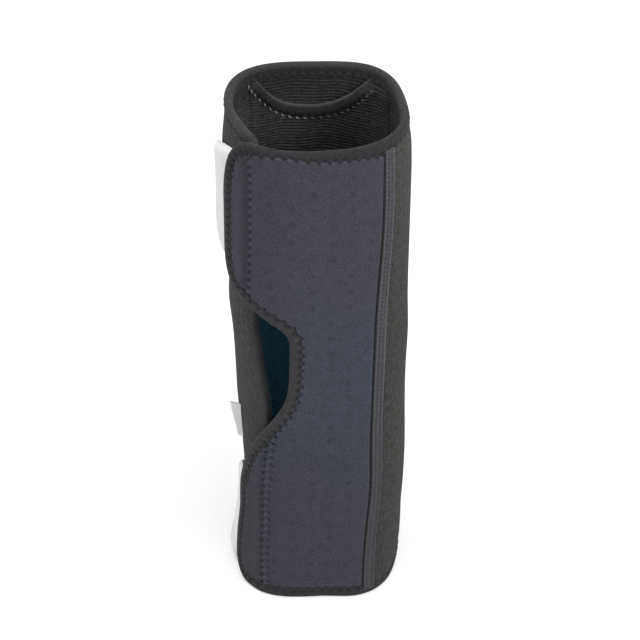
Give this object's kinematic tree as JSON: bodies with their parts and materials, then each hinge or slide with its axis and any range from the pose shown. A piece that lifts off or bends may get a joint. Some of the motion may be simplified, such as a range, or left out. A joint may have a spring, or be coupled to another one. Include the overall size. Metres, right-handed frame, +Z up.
{
  "type": "wrist splint",
  "caption": "Wrap-around wrist and forearm splint closed into a tube: padded cloth panels with bound edges, thumb scoop, hook tabs and a stay pocket.",
  "frame": {"origin": "middle of the footprint, on the plane that the hand end stands on", "axes": "+Z up the tube from the hand end to the forearm end, -Y towards the front flap with the thumb opening, +X to the side of the flap's seam"},
  "size_m": [0.088, 0.088, 0.2577],
  "materials": {
    "face_cloth": "smooth matt blue-grey face cloth over dimpled foam",
    "loop_cloth": "brushed charcoal loop cloth",
    "knit_lining": "ribbed black knit",
    "binding_tape": "soft folded tape with zigzag stitching",
    "seam_tape": "grey twill seam tape, double stitched",
    "white_ribbon": "white woven ribbon, bare",
    "hook_patch": "moulded hooks",
    "stay_metal": "brushed bare metal"
  },
  "bodies": {
    "back": {"back_panel": "loop_cloth", "back_lining": "knit_lining", "back_bottom_binding": "binding_tape", "back_top_binding": "binding_tape", "pocket_panel": "knit_lining", "pocket_mouth_tape": "binding_tape"},
    "stay": {"splint_stay": "stay_metal"},
    "right_side": {"right_panel": "loop_cloth", "right_lining": "knit_lining", "right_top_binding": "binding_tape", "right_bottom_binding": "binding_tape", "seam_tape": "seam_tape"},
    "left_side": {"left_panel": "loop_cloth", "left_lining": "knit_lining", "left_top_binding": "binding_tape", "left_front_binding": "binding_tape", "left_bottom_binding": "binding_tape", "side_label": "white_ribbon"},
    "front_flap": {"front_panel": "face_cloth", "front_lining": "knit_lining", "flap_top_binding": "binding_tape", "flap_edge_binding": "binding_tape", "flap_bottom_binding": "binding_tape", "upper_tab_root": "white_ribbon", "lower_tab_root": "white_ribbon"},
    "upper_closure": {"upper_tab": "white_ribbon", "upper_tab_hook": "hook_patch"},
    "lower_closure": {"lower_tab": "white_ribbon", "lower_tab_hook": "hook_patch"}
  },
  "joints": [
    {"name": "stay_slide", "type": "slide", "parent": "back", "child": "stay", "axis": [0, 0, 1], "range_m": [0, 0.15]},
    {"name": "right_side_fold", "type": "hinge", "parent": "back", "child": "right_side", "pos_m": [0.03414, 0.03103, 0], "axis": [-0.0018, 0.0049, 1], "range_deg": [0, 32]},
    {"name": "left_side_fold", "type": "hinge", "parent": "back", "child": "left_side", "pos_m": [-0.02904, 0.0352, 0], "axis": [0.0141, -0.0009, -0.9999], "range_deg": [0, 45]},
    {"name": "flap_opening", "type": "hinge", "parent": "right_side", "child": "front_flap", "pos_m": [0.02315, -0.03694, 0], "axis": [0.0306, 0.0186, 0.9994], "range_deg": [0, 105]},
    {"name": "upper_tab_fold", "type": "hinge", "parent": "front_flap", "child": "upper_closure", "pos_m": [-0.03594, -0.01066, 0], "axis": [-0.0005, -0.0359, 0.9994], "range_deg": [0, 85]},
    {"name": "lower_tab_fold", "type": "hinge", "parent": "front_flap", "child": "lower_closure", "pos_m": [-0.03461, -0.0146, 0], "axis": [0.0055, -0.0364, 0.9993], "range_deg": [0, 85]}
  ],
  "couplings": [
    {"joint": "right_side_fold", "follows": "flap_opening", "ratio": 0.28},
    {"joint": "left_side_fold", "follows": "flap_opening", "ratio": 0.4}
  ]
}
